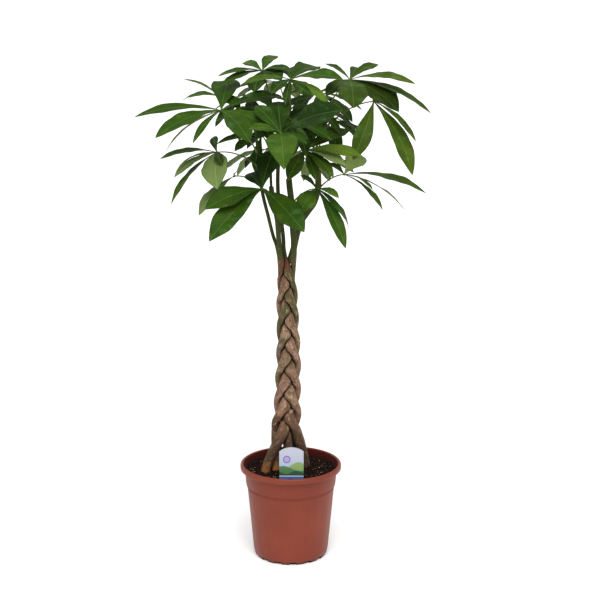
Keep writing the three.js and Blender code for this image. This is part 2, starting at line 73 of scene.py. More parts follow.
SOIL_LEVEL = 203
SOIL_RADIUS = 106
BANK = Sizes(start=76, height=9, depth=3, sides=240, rows=14)  # the soil pushed up along the wall
CRUMBS = Sizes(seed=7, count=5200, size=(0.7, 3.6), uneven=(0.7, 1.2), dented=(0.8, 1.15), lift=0.25, edge=3,
               tilt=((-0.4, 0.4), (-0.4, 0.4), (0, 6.3)), room=5)
CHIPS = Sizes(count=420, sizes=((2.2, 5.5), (0.7, 1.5), (0.4, 0.7)))

LABEL = Sizes(width=57, shoulder=77, height=87, slant=8, stake=12, depth=24, thick=0.9, edge=0.5, curl=0.9,
              lean=10, sunk=6, x=2, y=-69)

# The plait: in plan each stem runs along a figure of eight, a fifth of it after its neighbour.
PLAIT = Sizes(pitch=293, start=655, lead=30, straight=0.1, bottom=310, top=690, step=15)
AXIS = [[289, -8], [319, -10], [381, -7.5], [479, -4.8], [527, -5.4], [623, -7.5], [694, -9]]
WIDTH = [[289, 24.6], [319, 21.1], [381, 17.4], [479, 15.8], [560, 13.6], [623, 13.4], [694, 9.6]]
DEPTH = [[319, 16.5], [381, 15], [527, 13.5], [623, 12.5], [694, 10]]
GIRTH = [[143, 9.5], [211, 11], [289, 13], [381, 13.2], [527, 12.4], [623, 11.4], [694, 10]]
FOOT_HEIGHTS = (-60, -20, 8)  # of the points of a stem's foot, from the soil's surface
TAPER = 60  # height above the plait in which a stem takes its own radius
SHOOT_RADIUS = 3.4
SLANT_LIMIT = 0.55  # least squared sine of the angle between a section's ray and the run of its stem
PRESSED_GAP = 0.4  # from a stem's side to the border between it and its neighbour
PRESSED_SPAN = 1.5  # above and below a section, where a neighbour presses on it too
PRESSED_LEAST = 2  # that each of two pressed stems keeps
FAVOUR = 0.35  # how far the border gives way to the outer one of them
ROUNDED = 9  # how sharply a stem's round side turns into its pressed side
LINE_POINTS = 600
STEM_SIDES = 40
ROWS = Sizes(low=3.0, high=5.0, change=80)  # steps between sections, and where they change above the plait
CUT_ROWS = (-2.6, -1.4, -0.9, -0.3, 0.3, 0.9, 1.2, 2.6)  # heights of sections at a cut top
TIP_ROWS = (4, 2.4, 1, 0.3)  # and below the tip of a shoot
BARK_APART = 60  # between the places of two stems in the bark's pattern
LUMPS = Sizes(depth=0.5, sunk=0.25, girth=14, coarse=(9, 16), fine=(3, 2.2))  # of a stem's side

# turn: a stem's place in the plait; foot: in the soil; radius: above the plait; cut: the height of its cut
# top, from which a thin shoot goes on; way: above the plait, in [right, away, up].
Stem = namedtuple("Stem", "turn foot radius cut way")
STEMS = [
    Stem(0, [35, 28], 4.3, 960, [[-31, 4, 748], [-40, 0, 776], [-51, -6, 823], [-62, -8, 869], [-71, -6, 926],
        [-75, -4, 982], [-78, -4, 1030]]),
    Stem(4, [-5, 10], 6, 892, [[-24, -12, 735], [-27, -18, 776], [-30, -22, 816], [-42, -24, 880],
        [-44, -16, 940], [-42, -4, 1010], [-44, 4, 1090]]),
    Stem(1, [16, 48], 4.8, 985, [[-15, 2, 735], [-16, 8, 764], [-20, 18, 799], [-29, 34, 880], [-26, 52, 960],
        [-14, 66, 1040], [-8, 72, 1080]]),
    Stem(2, [-59, -6], 7.4, 908, [[7, -8, 735], [8, -14, 764], [6, -16, 792], [2, -14, 858], [-3, -8, 908],
        [-2, 6, 980], [0, 10, 1085]]),
    Stem(3, [-35, 2], 7.5, 925, [[8, 12, 745], [15, 14, 776], [25, 15, 806], [40, 13, 829], [54, 11, 850],
        [63, 8, 884], [63, 6, 921], [60, 6, 980], [72, 6, 1050]]),
]

# start: the stem and the height where a leaf's stalk starts; hub: where its leaflets meet, in [right, away,
# up]; face: how far it tips over and towards which heading, 0 being right and 90 away. leaflets: [right, up,
# length, width, roll], where a negative length points away from the front, width is a factor and roll turns
# the blade about its rib. tones: how light each of them is, 0 to 1; from 1 to 2 it shows its underside.
# olive: how far the leaf turns from green to olive, 0 to 1. rises: of the outlines of leaflets that are
# broadest nearer to their foot. fan: [count, length, droop] of leaflets placed by rule.
Leaf = namedtuple("Leaf", "start hub face leaflets tones olive rises fan", defaults=((), (), 0.15, {}, None))
LEAVES = {
    "left_high": Leaf([0, 965], [-152, -60, 1067], [30, 262], [[-184, -8, 194, 0.55], [-136, -48, 178, 0.95],
        [-115, -78, 170, 0.35, 60], [-56, -60, 130, 0.45], [67, -56, 142, 1.35], [128, -42, 152, 1.1],
        [134, 26, -150], [12, 58, -128, 1.9]], tones=[0.35, 0.45, 0.4, 0.35, 0.4, 0.4, 0.2, 0.3]),
    "left_back": Leaf([0, 1010], [-160, 30, 1090], [24, 240], [[-90, -16, -120, 0.8],
        [-76, 42, 100, 0.35, 40], [40, 24, -95, 1.2], [50, -20, 100]], tones=[0.4, 0.3, 0.1, 0.3]),
    "top_left": Leaf([1, 1075], [-63, 20, 1148], [26, 250], [[-97, -9, 105, 0.7], [-89, -29, 105],
        [-45, 14, -80, 1.2], [28, 30, -75, 1.8], [-17, -44, 62, 2.6], [44, -16, 82, 1.9], [64, 6, 86]],
        tones=[0.3, 0.3, 0.5, 0.45, 0.1, 0.1, 0.2], olive=0.3),
    "top_middle": Leaf([3, 1070], [2, -45, 1134], [24, 262], [[-104, -6, 112, 0.9], [-42, -26, 80, 1.4],
        [-12, -50, 80, 0.8], [47, -28, 85, 1, 60], [84, -50, 118, 0.75], [113, 4, 125, 1.3],
        [58, 22, -105, 2], [-10, 18, -82, 2.1]], tones=[0.55, 0.1, 0.15, 0.25, 0.85, 0.45, 0.2, 0.2],
        olive=0.3),
    "right_high": Leaf([4, 1035], [133, -10, 1131], [24, 285], [[177, -69, 198, 0.65, -10],
        [140, -4, 156, 0.8], [112, -50, 140, 1.9], [5, -52, 128, 2], [-45, -30, 95, 1.3], [-54, 31, -85, 0.7],
        [22, 20, -95], [67, 29, -98]], tones=[0.33, 0.5, 0.1, 0.25, 0.1, 0.22, 0.22, 0.28], olive=0.75),
    "right_side": Leaf([4, 1000], [184, -70, 1088], [44, 300], [[82, -152, 188, 0.9], [-47, -120, 146],
        [95, -65, 138, 0.55, -10], [24, 20, -65], [-26, 29, -90]], tones=[0.5, 0.35, 0.3, 0.25, 0.25],
        olive=0.8),
    "front": Leaf([1, 1060], [-19, -150, 1027], [38, 268], [[8, -57, 166, 1.5], [130, 54, 152, 1.8],
        [46, -13, 90], [-66, 16, 90, 1.2], [-8, 60, -106, 1.9], [-52, 42, -100, 1.4]],
        tones=[0.56, 0.05, 0.3, 0.55, 0.15, 0.3], rises={0: 0.85}),
    "left_side": Leaf([0, 935], [-164, -40, 972], [34, 230], [[-121, -7, 135, 0.7], [-9, 29, -65, 1.1],
        [-80, -22, 108, 0.4, 40], [-90, -46, 122, 0.9], [-97, -104, 162, 0.6, 12], [6, -68, 118, 2],
        [15, -20, 72]], tones=[0.4, 0.1, 0.3, 1.3, 0.45, 1.4, 0.1], olive=0.35, rises={5: 1.1}),
    "left_young": Leaf([0, 890], [-126, -30, 917], [30, 230], [[-76, -78, 128, 1.1], [8, 14, 32]],
        tones=[1.3, 0.3]),
    "left_low": Leaf([1, 860], [-62, -90, 897], [40, 262], [[-121, -32, 150, 1.4], [-111, -96, 186, 1.15],
        [93, -77, 162, 1.4], [-33, 23, -90, 1.4], [18, 67, -112, 1.8]], tones=[0.3, 0.4, 0.35, 0.05, 0.05]),
    "left_inner": Leaf([1, 960], [-66, 46, 1000], [30, 250], [[-99, -14, 108, 0.7], [-62, -20, 84, 1.3],
        [-40, 22, -90], [30, 30, -95], [50, -20, 90], [-10, -50, 95]]),
    "middle_right": Leaf([3, 940], [33, -80, 981], [36, 280], [[132, -4, 146, 0.9], [88, -23, 122, 0.9],
        [64, -34, 116, 0.9], [24, -58, 85], [-37, -54, 106, 1.2], [100, 38, -122], [60, 20, -92]],
        tones=[0.75, 1.57, 0.4, 0.3, 0.3, 0.3, 0.5], olive=0.5),
    "right_middle": Leaf([4, 880], [122, -10, 918], [34, 300], [[181, -34, 193, 0.75, -14],
        [131, -66, 170, 0.5, -36], [84, -70, 130, 0.7, -20], [61, -24, 96, 0.7, -20], [40, 36, -92, 2],
        [-43, 15, -80, 1.4]], tones=[0.5, 0.55, 0.55, 0.6, 1.95, 0.5], olive=0.35),
    "right_low": Leaf([3, 850], [60, -70, 894], [40, 285], [[62, -119, 156, 0.75], [57, -50, 102, 0.5],
        [46, -8, 90, 0.9], [-40, -42, 96, 1.6], [-37, 21, -78, 0.7], [74, -104, -152, 0.5]],
        tones=[0.4, 0.35, 0.8, 0.6, 0.3, 0.3]),
    "back_left": Leaf([0, 990], [-95, 95, 1082], [14, 250], fan=[6, 112, 16]),
    "back_high": Leaf([2, 1060], [-30, 130, 1115], [14, 100], fan=[7, 120, 15]),
    "back_right": Leaf([2, 1040], [62, 110, 1090], [14, 280], fan=[7, 120, 18]),
    "back_middle": Leaf([2, 1000], [-10, 150, 1030], [16, 260], fan=[7, 135, 22]),
    "back_low": Leaf([2, 930], [-55, 120, 960], [24, 120], fan=[6, 115, 26]),
    "back_side": Leaf([4, 960], [95, 90, 1030], [18, 300], fan=[6, 115, 24]),
    "back_inner": Leaf([4, 890], [55, 95, 950], [26, 80], fan=[6, 110, 26]),
    "inner_high": Leaf([3, 1040], [52, 10, 1068], [20, 300], fan=[6, 105, 20]),
    "inner_left": Leaf([1, 1010], [-70, -30, 1062], [24, 262], fan=[6, 105, 18]),
    "inner_middle": Leaf([3, 985], [10, -60, 1040], [26, 268], fan=[6, 100, 20]),
}

# A blade: its least half widths, its widest as a share of its length, the rise and fall of its outline, its
# fold and arch, then its thickness and rib, and its waves.
BLADE = Sizes(
    root_half=1.2, tip_half=0.5, widest=0.25, broader=1.06, rise=1.55, fall=0.9, fold=0.16, arch=0.09,
    half_thick=0.25, rib=1.1, groove=0.18, keel=0.75, wave=0.07, flutter=0.03, sway=0.008)
SHARES = np.concatenate([[0.01, 0.03], np.linspace(0.06, 0.94, 40), [0.96, 0.975, 0.99, 1]])
SIDES = np.array([-1, -0.86, -0.66, -0.45, -0.26, -0.11, -0.04, 0, 0.04, 0.11, 0.26, 0.45, 0.66, 0.86, 1])
STALK = Sizes(radius=1.6, foot=2.1, lift=0.22, solid_steps=5, sides=10, steps=24, slimmer=0.85, flare=1.3,
              flare_length=5)
KNOB = Sizes(radius=3.6, half_height=2.4, sides=12, steps=8, end=86)
FANNED = Sizes(spread=300, shorter=0.33, turn=(-7, 7), size=(0.9, 1.1), droop=(0.7, 1.3), roll=(-8, 8),
               width=(0.9, 1.2))
LIGHTEST_DRAWN = 0.45  # tone of leaflets that aren't in a table
LEAF_SEED, FAN_SEED = 101, 11
# The turns, shortenings and bows by which the solids' leaflets and stalks keep clear of each other.
BENDS = range(-35, 36, 7)
SHORTENINGS = (1, 0.8, 0.6)
BOWS = range(-48, 49, 12)
TIP_MATCH = 0.1  # from a tip's corner to the solid's


def mix(low, high, share):
    return low + (high - low) * share


def unit(v):
    return v / np.linalg.norm(v)


def square_to(v):
    """A level way square to v."""
    return unit(np.array([-v[1], v[0], 0]))


def turned(v, axis, turn):
    """v turned about an axis of length 1, by degrees."""
    angle = radians(turn)
    along_axis = axis * np.dot(axis, v) * (1 - cos(angle))
    return v * cos(angle) + np.cross(axis, v) * sin(angle) + along_axis


def along(rows, place):
    """A value read off rows of [place, value], straight between them."""
    places, values = zip(*rows)
    return np.interp(place, places, values)


def seeded(state):
    """The same draws in every run."""
    def draw():
        nonlocal state
        state = state * 16807 % 2147483647
        return state / 2147483647

    return draw


def around(count):
    return np.linspace(0, 2 * pi, count, endpoint=False)


def ring(sides, first, second):
    """Ways out all round, in the plane of two ways."""
    angles = around(sides)
    return np.cos(angles)[:, None] * first + np.sin(angles)[:, None] * second


def edges(rings, sides):
    """Pairs of neighbours along rings of points."""
    return [(k * sides + j, k * sides + (j + 1) % sides) for k in range(rings) for j in range(sides)]


def tube_faces(rings, sides):
    """Faces of a tube over rings of points, with flat ends."""
    last = (rings - 1) * sides
    faces = [[a, b, b + sides, a + sides] for a, b in edges(rings - 1, sides)]
    return faces + [list(range(sides - 1, -1, -1)), list(range(last, last + sides))]


def hoop_faces(rings, sides):
    """Faces of a closed hoop over rings of points that run outward along its top."""
    count = rings * sides
    return [[(a + sides) % count, a, b, (b + sides) % count] for a, b in edges(rings, sides)]


def added(name, data):
    """A new object in the scene."""
    made = bpy.data.objects.new(name, data)
    bpy.context.scene.collection.objects.link(made)
    return made


class Shape:
    """Gathers the parts of one piece, in millimetres."""

    def __init__(self):
        self.points, self.faces, self.slots, self.spreads = [], [], [], []
        self.attributes = {}
        self.count = 0

    def add(self, points, faces, slots=0, spread=None, **attributes):
        """Adds points and faces. spread is the points' UV; an attribute is one value or one a point."""
        size = len(points)
        self.points.append(points)
        self.faces.extend([[i + self.count for i in face] for face in faces])
        self.slots.extend(slots if isinstance(slots, list) else [slots] * len(faces))
        self.spreads.append(np.zeros((size, 2)) if spread is None else spread)
        for key, value in attributes.items():
            values = np.broadcast_to(value, (size, *np.shape(value)[1:]))
            self.attributes.setdefault(key, []).append(values)
        self.count += size

    def piece(self, name, slot, materials, replaces=(), sharp=50):
        """Makes the piece and hangs it on the object's body."""
        mesh = bpy.data.meshes.new(name)
        points = np.concatenate(self.points) * MM
        mesh.from_pydata(points.tolist(), [], self.faces)
        for material in materials:
            mesh.materials.append(material)
        mesh.polygons.foreach_set("material_index", self.slots)
        corners = np.empty(len(mesh.loops), dtype=np.int32)
        mesh.loops.foreach_get("vertex_index", corners)
        spread = np.concatenate(self.spreads) * MM
        mesh.uv_layers.new(name="spread").data.foreach_set("uv", spread[corners].ravel())
        for key, values in self.attributes.items():
            values = np.concatenate(values).astype(np.float32)
            kind, field = ("FLOAT", "value") if values.ndim == 1 else ("FLOAT_VECTOR", "vector")
            mesh.attributes.new(key, kind, "POINT").data.foreach_set(field, values.ravel())
        mesh.shade_smooth()
        mesh.set_sharp_from_angle(angle=radians(sharp))
        mesh.update()
        piece = added(name, mesh)
        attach(piece, "root")
        if replaces:
            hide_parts(*replaces)


def srgb(red, green, blue):
    """A colour from its sRGB values of 0 to 255."""
    shares = [c / 255 for c in (red, green, blue)]
    return (*(((c + 0.055) / 1.055) ** 2.4 if c > 0.04045 else c / 12.92 for c in shares), 1)


class Finish:
    """Makes the nodes of one material. Its colour is built up in coats, and place is what its noises are laid
    on. An ink is red, green and blue."""

    def __init__(self, name, roughness, specular):
        self.material = bpy.data.materials.new(name)
        self.material.use_nodes = True
        self.tree = self.material.node_tree
        self.sockets = self.tree.nodes["Principled BSDF"].inputs
        self.put(self.sockets["Roughness"], roughness)
        self.put(self.sockets["Specular IOR Level"], specular)
        self.place = self.add("TexCoord", {}).outputs["Object"]
        self.colour = None

    def put(self, socket, value):
        if isinstance(value, bpy.types.NodeSocket):
            self.tree.links.new(value, socket)
        else:
            socket.default_value = value

    def add(self, kind, inputs, **settings):
        """Adds a node and returns it."""
        node = self.tree.nodes.new("ShaderNode" + kind)
        for key, value in settings.items():
            setattr(node, key, value)
        for key, value in inputs.items():
            self.put(node.inputs[key], value)
        return node

    def sum(self, operation, *values):
        return self.add("Math", dict(enumerate(values)), operation=operation).outputs[0]

    def times(self, first, second):
        return self.sum("MULTIPLY", first, second)

    def between(self, value, low, high, to=(0, 1)):
        """to[0] up to low and to[1] from high on, smooth between them."""
        inputs = {"Value": value, "From Min": low, "From Max": high, "To Min": to[0], "To Max": to[1]}
        return self.add("MapRange", inputs, interpolation_type="SMOOTHSTEP").outputs[0]

    def blend(self, share, first, second):
        return self.add("Mix", {0: share, 6: first, 7: second}, data_type="RGBA").outputs[2]

    def coat(self, share, ink, within=None):
        """Lays an ink over the colour, by a share or by the product of two."""
        if within:
            share = self.times(share, within)
        self.colour = self.blend(share, self.colour, srgb(*ink))

    def tint(self, value, low, high, to, ink, within=None):
        self.coat(self.between(value, low, high, to), ink, within)

    def attribute(self, name, output="Fac"):
        return self.add("Attribute", {}, attribute_name=name).outputs[output]

    def parts(self, vector):
        return self.add("SeparateXYZ", {"Vector": vector}).outputs

    def noise(self, scale, detail=3, rough=0.55, shift=0, stretch=None):
        vector = self.place
        if stretch:
            vector = self.add("Mapping", {"Vector": vector, "Scale": stretch}).outputs[0]
        inputs = {"Vector": vector, "W": shift, "Scale": scale, "Detail": detail, "Roughness": rough}
        return self.add("TexNoise", inputs, noise_dimensions="4D").outputs[0]

    def ramp(self, value, *stops):
        """A colour read off stops of (place, red, green, blue)."""
        node = self.add("ValToRGB", {"Fac": value})
        elements = node.color_ramp.elements
        for _ in stops[2:]:
            elements.new(1)
        for element, (place, *ink) in zip(elements, stops):
            element.position = place
            element.color = srgb(*ink)
        return node.outputs[0]

    def bump(self, height, distance, strength, before=None):
        inputs = {"Height": height, "Distance": distance, "Strength": strength}
        if before:
            inputs["Normal"] = before
        return self.add("Bump", inputs).outputs[0]

    def done(self, normal=None, roughness=None):
        """Links up the shader and returns the material."""
        for name, value in (("Base Color", self.colour), ("Normal", normal), ("Roughness", roughness)):
            if value:
                self.put(self.sockets[name], value)
        return self.material


# Camera, light and floor

camera = added("camera", bpy.data.cameras.new("camera"))
camera.location = CAMERA.place
camera.rotation_euler = (radians(90 - CAMERA.dip), 0, 0)
camera.data.lens = CAMERA.lens
bpy.context.scene.camera = camera
bpy.context.scene.view_settings.view_transform = "Standard"

world = bpy.data.worlds.new("studio")
world.use_nodes = True
sky = world.node_tree.nodes["Background"].inputs
sky["Color"].default_value = (1, 1, 1, 1)
sky["Strength"].default_value = WORLD_POWER
bpy.context.scene.world = world

sun = added("key_light", bpy.data.lights.new("key_light", "SUN"))
sun.data.energy = SUN.power
sun.data.angle = radians(SUN.width)
sun.rotation_euler = [radians(turn) for turn in SUN.turn]

floor_mesh = bpy.data.meshes.new("floor")
floor_corners = [(x * FLOOR_REACH, y * FLOOR_REACH, 0) for x, y in ((-1, -1), (1, -1), (1, 1), (-1, 1))]
floor_mesh.from_pydata(floor_corners, [], [[0, 1, 2, 3]])
floor = added("floor", floor_mesh)
paper = Finish("studio_paper", 0.9, 0.1)
paper.colour = srgb(248, 248, 248)
paper.coat(paper.noise(3), (252, 252, 252))
floor_mesh.materials.append(paper.done())


# Pot

def arc(middle, radius, start, stop, steps):
    """Points on an arc in the pot's section, by angles in degrees."""
    angles = np.radians(np.linspace(start, stop, steps))
    return [(middle[0] + radius * cos(a), middle[1] + radius * sin(a)) for a in angles]


def slope(low, high, shares):
    """Points between two points of the pot's section."""
    return [(mix(low[0], high[0], s), mix(low[1], high[1], s)) for s in shares]


def pot_profile():
    """The pot's section, from the middle of its underside round its outside to the middle of its floor, and
    how many of its points are outside. The small numbers round its edges."""
    inner_foot = FOOT[0] - FOOT_WIDTH
    pad = PAD_RADIUS + WALL
    collar, under_rim = COLLAR_TOP
    rim, rim_foot = RIM_FOOT
    top = RIM_TOP[1]
    outer = [
        (0, 0), (PAD_RADIUS - 1, 0), (PAD_RADIUS, 0.5), (pad, FLOOR_HEIGHT - 0.6), (pad + 1, FLOOR_HEIGHT),
        (inner_foot - 1, FLOOR_HEIGHT), (inner_foot, FLOOR_HEIGHT - 1), (inner_foot, 0.6),
        (inner_foot + 0.6, 0), (FOOT[0] - 0.8, 0), (FOOT[0] + 0.2, 0.8),
    ]
    outer += [(mix(FOOT[0], CORNER[0], s ** 0.8), CORNER[1] * s) for s in np.linspace(0.25, 0.85, 4)]
    outer += [CORNER] + slope(CORNER, BODY_TOP, np.linspace(0.02, 0.99, 12))
    outer += [(mix(BODY_TOP[0], COLLAR_FOOT[0], s), COLLAR_FOOT[1] + rise)
              for s, rise in ((0.03, -7), (0.12, -5), (0.3, -3), (0.55, -1), (0.8, 1), (0.94, 3), (1, 5.5))]
    outer += slope(COLLAR_FOOT, COLLAR_TOP, (0.2, 0.5, 0.8, 0.97))
    outer += [(collar + 1, under_rim + 1), (rim - 4, rim_foot - 0.9), (rim - 1.6, rim_foot)]
    outer += arc((rim - 2, rim_foot + 2), 2, -60, 0, 4) + [(rim, (rim_foot + top) / 2)]
    outer += arc((rim - 5, top - 5), 5, 10, 90, 7) + [(rim - 6.6, top - 0.8), (rim - 7.8, top - 3)]
    inner = [(collar + 0.4, under_rim + 2), COLLAR_TOP, COLLAR_FOOT, (BODY_TOP[0], COLLAR_FOOT[1] - 3)]
    inner += [CORNER, (FOOT[0], FLOOR_HEIGHT + WALL), (WALL, FLOOR_HEIGHT + WALL)]
    return outer + [(radius - WALL, z) for radius, z in inner], len(outer)


def notch_columns():
    """Angles round the pot in degrees, each with whether the foot is notched there."""
    half = degrees(NOTCH.length / 2 / FOOT[0])
    middles = [NOTCH.first + 360 * i / NOTCH.count for i in range(NOTCH.count)]
    columns = []
    for angle in np.arange(0, 360, 2.0):
        off = min(abs((angle - middle + 180) % 360 - 180) for middle in middles)
        if abs(off - half) > 0.4:
            columns.append((angle, off < half))
    for middle in middles:
        for side in (-1, 1):
            edge = (middle + side * half) % 360
            columns += [(edge, False), (edge - side * 1e-6, True)]
    return sorted(columns)


def add_shell(shape):
    """The pot's wall, floor and foot. Its inner faces and underside are marked, for painted shade."""
    profile, outer_count = pot_profile()
    columns = notch_columns()
    points = {}
    faces = []

    def corner(angle, notched, place):
        radius, z = profile[place]
        if notched and z < NOTCH.height and radius > PAD_RADIUS + 10:
            z = NOTCH.height
            if radius > FOOT[0] - 1:
                radius = max(radius, FOOT[0] + NOTCH.bulge)
        angle = radians(round(angle, 4))
        point = (round(radius * cos(angle), 4), round(radius * sin(angle), 4), round(z, 4))
        return points.setdefault(point, len(points))

    for first, second in zip(columns, columns[1:] + columns[:1]):
        for i in range(len(profile) - 1):
            face = [corner(*first, i), corner(*second, i), corner(*second, i + 1), corner(*first, i + 1)]
            face = [v for k, v in enumerate(face) if v != face[k - 1]]
            if len(set(face)) > 2:
                faces.append(face)
    corners = np.array(list(points))
    outside = sorted((z, radius) for radius, z in profile[12:outer_count - 9] + [RIM_TOP])
    wall = np.interp(corners[:, 2], *zip(*outside))
    depth = wall - np.hypot(corners[:, 0], corners[:, 1])
    inner = np.clip((depth - WALL / 2) / (WALL / 2), 0, 1) * (corners[:, 2] < RIM_TOP[1] - 2)
    shape.add(corners, faces, inner=inner)


def add_shade_ring(shape):
    """A near-black ring behind the notches, put there as painted shade seen through them."""
    outer = FOOT[0] - SHADE_RING.inset
    inner = outer - SHADE_RING.thick
    bottom, top = 0.5, FLOOR_HEIGHT + 0.5
    section = [(inner, bottom), (inner, top), (outer, top), (outer, bottom)]
    corners = np.array([(r * cos(t), r * sin(t), z) for t in around(SHADE_RING.sides) for r, z in section])
    shape.add(corners, hoop_faces(SHADE_RING.sides, len(section)), inner=2.0)


def moulded_plastic():
    look = Finish("moulded_plastic", 0.42, 0.22)
    height = look.parts(look.place)[2]
    inner = look.attribute("inner")
    fine = look.noise(260, shift=2)
    streaks = look.noise(1, 4, shift=5, stretch=(60, 60, 3))
    scuffs = look.noise(40, 5, 0.7, 9, (1, 1, 0.4))
    # Painted shade: a darker band round the collar's foot, under the collar's overhang.
    collar_shade = look.times(look.between(height, 0.162, 0.169), look.between(height, 0.173, 0.179, (1, 0)))
    look.colour = look.ramp(look.noise(9, 4), (0.3, 112, 47, 30), (0.7, 124, 55, 37))
    look.tint(fine, 0.55, 0.8, (0, 0.25), (136, 68, 50))
    look.tint(streaks, 0.6, 0.85, (0, 0.3), (140, 76, 60))
    look.tint(scuffs, 0.6, 0.72, (0, 0.25), (156, 92, 76))
    look.tint(scuffs, 0.3, 0.42, (0.3, 0), (104, 40, 24))
    # Painted shade in the band below the collar.
    look.coat(collar_shade, (92, 36, 22), 0.14)
    # Darker towards the foot's bottom edge: painted shade where it stands on the floor, with some dirt.
    look.tint(height, 0.003, 0.009, (0.55, 0), (70, 36, 28))
    # Painted shade: the pot's inner faces and underside turn dark red-brown.
    look.coat(inner, (58, 6, 0))
    # Painted shade: the ring behind the notches is near-black.
    look.tint(inner, 1.2, 1.8, (0, 1), (12, 4, 2))
    worn = look.between(streaks, 0.3, 0.7, (0.4, 0.52))
    worn = look.sum("MAXIMUM", worn, look.times(inner, 0.9))
    worn = look.sum("MAXIMUM", worn, look.times(collar_shade, 0.8))
    return look.done(look.bump(fine, 0.0004, 0.35), worn)


pot = Shape()
add_shell(pot)
add_shade_ring(pot)
pot.piece("moulded_pot", "pot_plastic", [moulded_plastic()], ["pot"])


# Soil: its solid shows between loose crumbs and chips

def soil_material(name):
    look = Finish(name, 0.95, 0.1)
    grains = look.noise(350, 5, 0.7)
    look.colour = look.ramp(
        look.attribute("tone"), (0, 18, 9, 7), (0.35, 34, 18, 13), (0.58, 54, 32, 24), (0.62, 100, 70, 46),
        (0.8, 150, 120, 88), (1, 214, 192, 160))
    look.tint(grains, 0.35, 0.65, (0.45, 0), (14, 8, 6))
    return look.done(look.bump(grains, 0.0015, 0.8))


def bank_rise(radius, angle):
    """How far the soil along the wall stands above its middle."""
    share = min(max((radius - BANK.start) / (SOIL_RADIUS - BANK.start), 0), 1)
    lumps = noise.noise(Vector((5 * cos(angle), 5 * sin(angle), radius / 14)))
    return BANK.height * share ** 1.5 * (0.85 + 0.5 * lumps) - 0.6


def make_bank():
    """A ring of soil, out to the wall and back below."""
    radii = np.linspace(BANK.start, SOIL_RADIUS, BANK.rows)
    below = SOIL_LEVEL - BANK.depth
    points = []
    for angle in around(BANK.sides):
        rows = [(r, SOIL_LEVEL + bank_rise(r, angle)) for r in radii]
        rows += [(SOIL_RADIUS, below), (BANK.start, below)]
        points += [(r * cos(angle), r * sin(angle), z) for r, z in rows]
    shape = Shape()
    shape.add(np.array(points), hoop_faces(BANK.sides, BANK.rows + 2), tone=0.2)
    shape.piece("soil_bank", "potting_soil", [soil_material("banked_soil")])


def icosahedron():
    """Corners and faces of an icosahedron of radius 1."""
    golden = (1 + 5 ** 0.5) / 2
    corners = np.array([(a, b * golden, 0) for a in (-1, 1) for b in (-1, 1)], dtype=float)
    corners = np.concatenate([corners, np.roll(corners, 1, axis=1), np.roll(corners, 2, axis=1)])
    corners /= np.linalg.norm(corners[0])
    hull = bmesh.new()
    for corner in corners:
        hull.verts.new(corner)
    bmesh.ops.convex_hull(hull, input=hull.verts)
    hull.verts.index_update()
    faces = [[v.index for v in face.verts] for face in hull.faces]
    corners = np.array([v.co for v in hull.verts])
    hull.free()
    return corners, faces


def make_crumbs():
    """Crumbs and pale chips, each dropped onto the soil's solid where it finds room."""
    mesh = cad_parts["soil"].data
    ground = BVHTree.FromPolygons([v.co for v in mesh.vertices], [p.vertices[:] for p in mesh.polygons])
    corners, faces = icosahedron()
    draws = np.random.default_rng(CRUMBS.seed)
    shape = Shape()
    for number in range(CRUMBS.count):
        radius = (SOIL_RADIUS - CRUMBS.edge) * sqrt(draws.random())
        angle = 2 * pi * draws.random()
        size = mix(*CRUMBS.size, draws.random() ** 2.5)
        sizes = size * draws.uniform(*CRUMBS.uneven, 3)
        tone = draws.uniform(0, 0.55)
        if number < CHIPS.count:
            sizes = np.array([draws.uniform(*span) for span in CHIPS.sizes])
            tone = 0.56 + 0.44 * draws.random() ** 1.5
        spot = (radius * cos(angle), radius * sin(angle))
        below = []
        for right, away in ((0, 0), (1, 0), (-1, 0), (0, 1), (0, -1)):
            start = (spot[0] + right * sizes.max(), spot[1] + away * sizes.max(), SOIL_LEVEL + 20)
            below.append(ground.ray_cast(Vector(start) * MM, Vector((0, 0, -1)), 0.04)[0])
        if None in below or min(hit.z for hit in below) < (SOIL_LEVEL - CRUMBS.room) * MM:
            continue
        tilt = Euler([draws.uniform(*span) for span in CRUMBS.tilt]).to_matrix()
        lumps = corners * sizes * draws.uniform(*CRUMBS.dented, (len(corners), 1))
        height = max(below[0].z / MM, SOIL_LEVEL + bank_rise(radius, angle))
        centre = np.array([*spot, height + CRUMBS.lift * sizes[2]])
        shape.add(lumps @ np.array(tilt).T + centre, faces, tone=tone)
    shape.piece("soil_crumbs", "potting_soil", [soil_material("loose_soil")], sharp=20)


make_bank()
make_crumbs()
soil_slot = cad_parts["soil"].material_slots[0]
soil_slot.link = "OBJECT"
soil_slot.material = soil_material("packed_soil")


# Plant label

